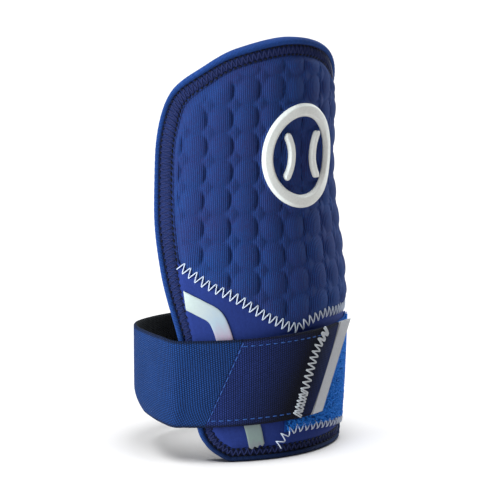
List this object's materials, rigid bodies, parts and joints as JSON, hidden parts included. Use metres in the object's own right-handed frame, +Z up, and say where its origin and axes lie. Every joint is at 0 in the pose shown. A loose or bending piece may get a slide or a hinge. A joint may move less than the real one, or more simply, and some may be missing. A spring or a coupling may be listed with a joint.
{
  "type": "batting hand protector",
  "caption": "Padded half-pipe hand and wrist shield in blue quilted fabric with a stitched bound rim, an elastic wrist strap with loop-pile closure and a plain raised ball sign.",
  "frame": {"origin": "on the floor under the middle of the part's box, inside the wrist hollow", "axes": "+Z up along the forearm towards the hand end, -Y out of the shield's front, +X to the right seen from the front"},
  "size_m": [0.09, 0.0738, 0.162],
  "materials": {
    "lining": "matte knitted lining over foam",
    "quilted_fabric": "moulded ribbed mesh",
    "cover_fabric": "fine matte knit",
    "binding_tape": "stretch tape, cover-stitched",
    "loop_pile": "loop pile",
    "reflective_film": "silver film, satin",
    "elastic_webbing": "coarse woven elastic",
    "strap_fabric": "fine woven",
    "label_fabric": "silver woven",
    "emblem_rubber": "moulded, satin"
  },
  "bodies": {
    "root": {"padded_core": "lining", "quilted_cover": "quilted_fabric", "lower_cover": "cover_fabric", "edge_binding": "binding_tape", "loop_patch": "loop_pile", "reflective_strip": "reflective_film", "strap_elastic": "elastic_webbing", "strap_end": "strap_fabric", "pull_label": "label_fabric", "emblem_ring": "emblem_rubber", "emblem_seam_left": "emblem_rubber", "emblem_seam_right": "emblem_rubber"}
  },
  "joints": []
}
